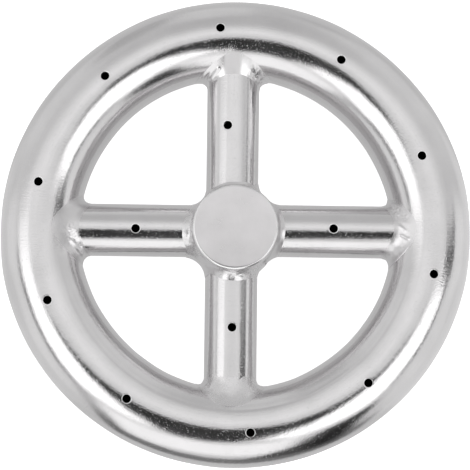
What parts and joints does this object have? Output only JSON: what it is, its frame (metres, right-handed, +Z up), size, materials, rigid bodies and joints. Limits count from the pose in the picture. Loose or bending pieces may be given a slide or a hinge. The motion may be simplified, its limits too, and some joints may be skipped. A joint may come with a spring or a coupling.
{
  "type": "ring burner",
  "caption": "Round tubular gas ring burner: a bent tube with gas holes on top, joined by four tube spokes to a solid-topped hub with a threaded inlet below.",
  "frame": {"origin": "centre of the hub's bottom face, the mouth of the threaded gas inlet, which is the lowest face of the part", "axes": "+Z up, out of the hub's solid top, along the ring's axis; +X along the east spoke; +Y along the north spoke, at whose end one of the ring's two butt welds lies"},
  "size_m": [0.1524, 0.1524, 0.0327],
  "materials": {
    "tube_steel": "drawn stainless tube, polished bright with fine marks along and across it",
    "hub_steel": "turned stainless steel, satin top face with a fine bright chamfer",
    "weld_metal": "stainless weld metal, rippled at the ring, brushed smooth at the hub and ground flush at the ring's seams"
  },
  "bodies": {
    "root": {"hub": "hub_steel", "ring_half_east": "tube_steel", "ring_half_west": "tube_steel", "ring_butt_weld_north": "weld_metal", "ring_butt_weld_south": "weld_metal", "spoke_east": "tube_steel", "spoke_north": "tube_steel", "spoke_west": "tube_steel", "spoke_south": "tube_steel", "ring_weld_east": "weld_metal", "ring_weld_north": "weld_metal", "ring_weld_west": "weld_metal", "ring_weld_south": "weld_metal", "hub_weld_east": "weld_metal", "hub_weld_north": "weld_metal", "hub_weld_west": "weld_metal", "hub_weld_south": "weld_metal"}
  },
  "joints": []
}
